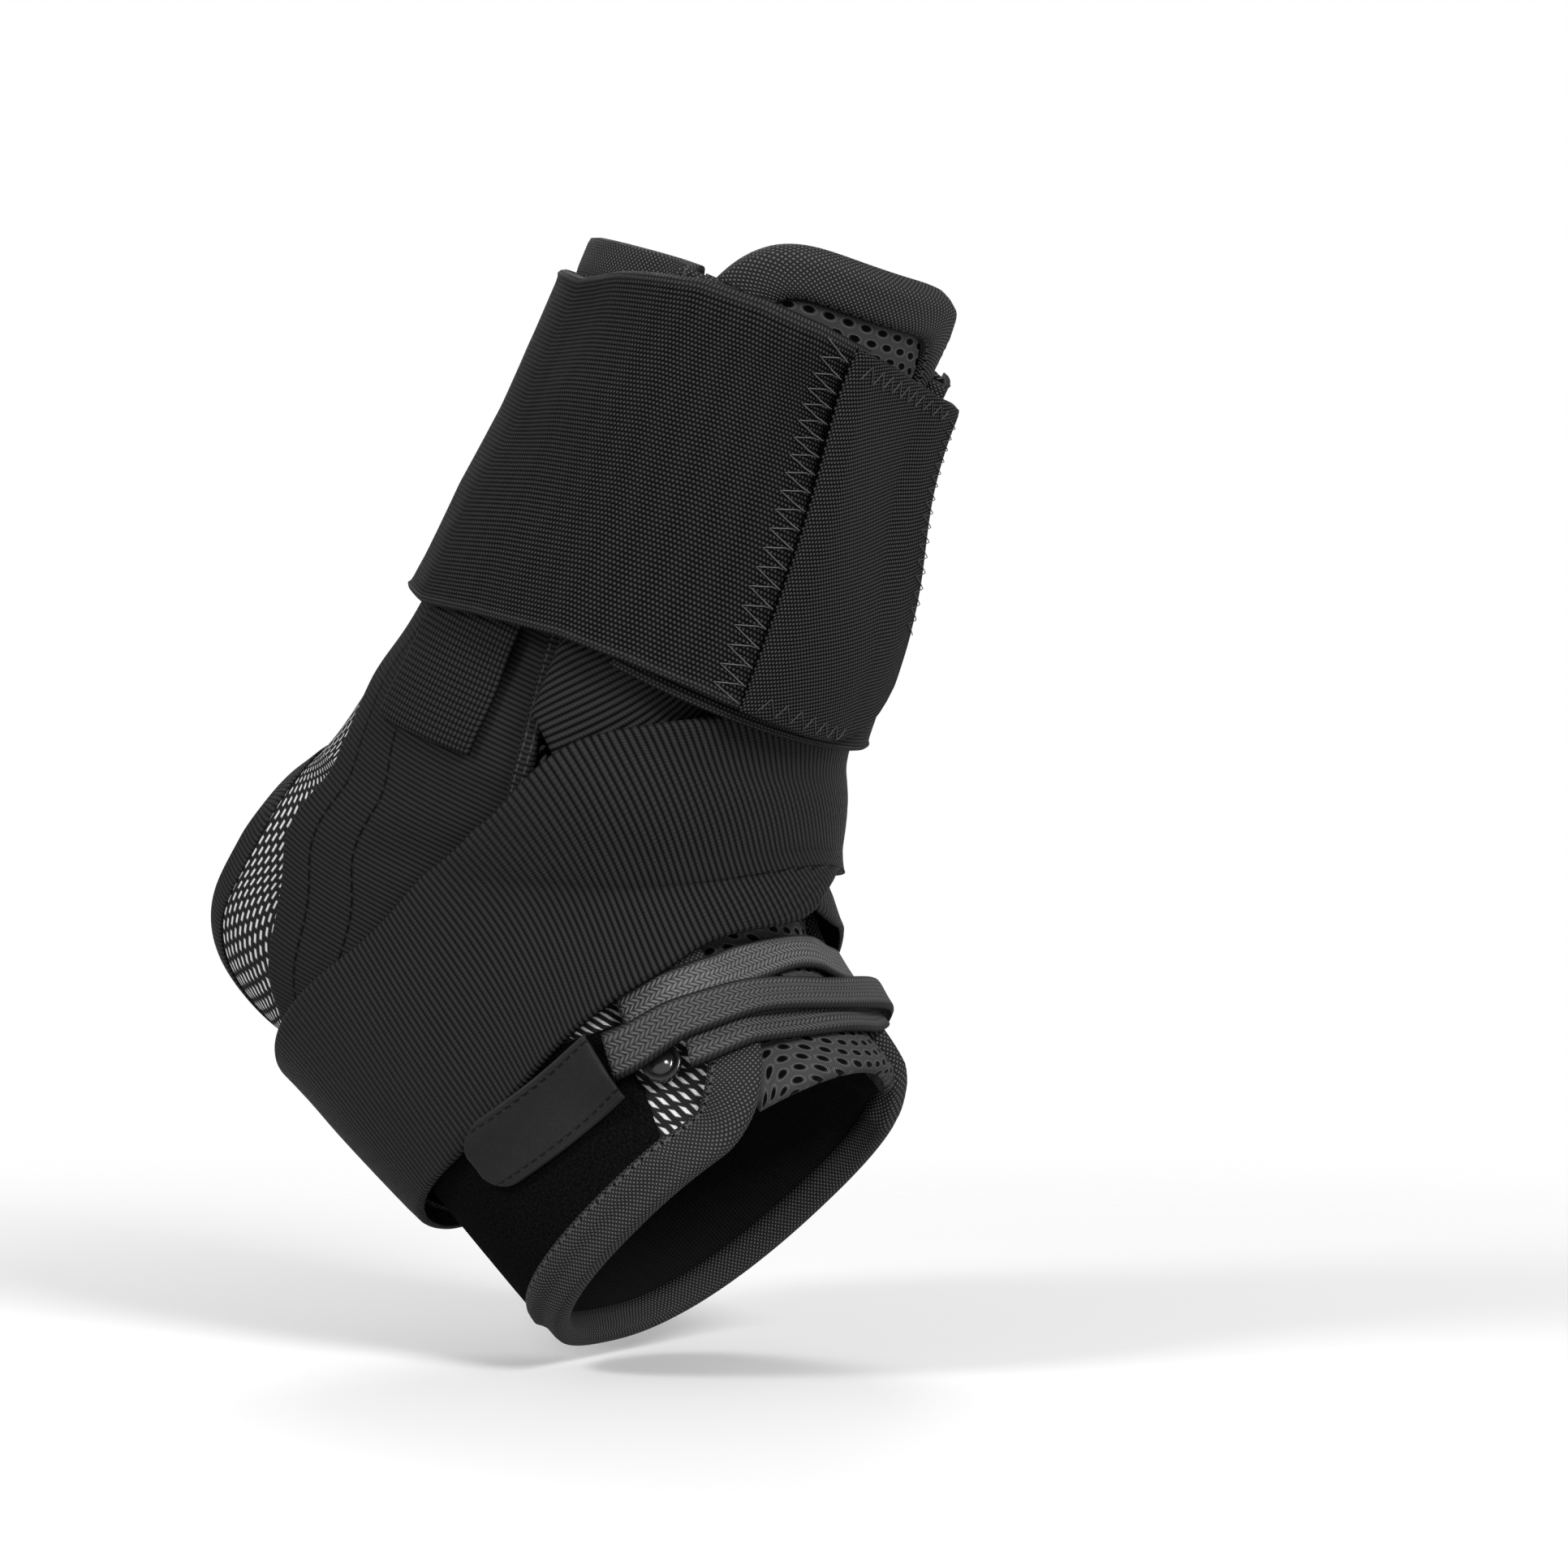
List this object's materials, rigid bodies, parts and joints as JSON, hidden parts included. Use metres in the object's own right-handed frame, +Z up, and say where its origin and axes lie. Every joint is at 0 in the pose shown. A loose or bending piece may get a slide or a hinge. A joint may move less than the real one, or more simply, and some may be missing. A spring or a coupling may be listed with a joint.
{
  "type": "laced ankle brace",
  "caption": "Laced ankle brace worn on a raised heel: inner boot with tongue and open heel, stay pockets, crossed ankle straps, lacing tapes and a wound elastic cuff with a closing tab.",
  "frame": {"origin": "centre of the ankle inside the boot, on the mid plane", "axes": "+X towards the toes (level), +Y to the far side of the picture, +Z up; the foot's sole drops 41 degrees towards the toes"},
  "size_m": [0.1796, 0.1134, 0.2426],
  "materials": {
    "airMesh": "padded air mesh with hexagonal holes",
    "binding": "soft rolled binding, fine diamond weave",
    "knit": "matt warp knit",
    "ribbedTape": "finely ribbed tape",
    "ribbedCloth": "ribbed cloth",
    "wovenElastic": "woven elastic",
    "loopPile": "brushed loop pile",
    "ribbedWebbing": "ribbed webbing",
    "herringboneTape": "herringbone tape",
    "gloss": "gloss",
    "smoothHide": "smooth, stitched",
    "elasticWeave": "elastic weave",
    "knitTab": "fine diagonal knit"
  },
  "bodies": {
    "root": {"tongue": "airMesh", "tongue_binding": "binding", "boot_shell": "knit", "front_binding": "binding", "collar_binding": "binding", "heel_binding": "ribbedTape", "cuff": "elasticWeave", "cuff_tab": "knitTab", "lace_upper": "herringboneTape", "lace_lower": "herringboneTape", "lace_middle": "herringboneTape", "stay_panel_far": "ribbedCloth", "panel_edge_far": "ribbedCloth", "strap_anchor_far": "wovenElastic", "loop_patch_far": "loopPile", "loop_panel_far": "loopPile", "ankle_strap_far": "ribbedWebbing", "eyelet_far": "gloss", "pull_tab_far": "smoothHide", "stay_panel_near": "ribbedCloth", "panel_edge_near": "ribbedCloth", "strap_anchor_near": "wovenElastic", "loop_patch_near": "loopPile", "loop_panel_near": "loopPile", "ankle_strap_near": "ribbedWebbing", "eyelet_near": "gloss", "pull_tab_near": "smoothHide"}
  },
  "joints": []
}
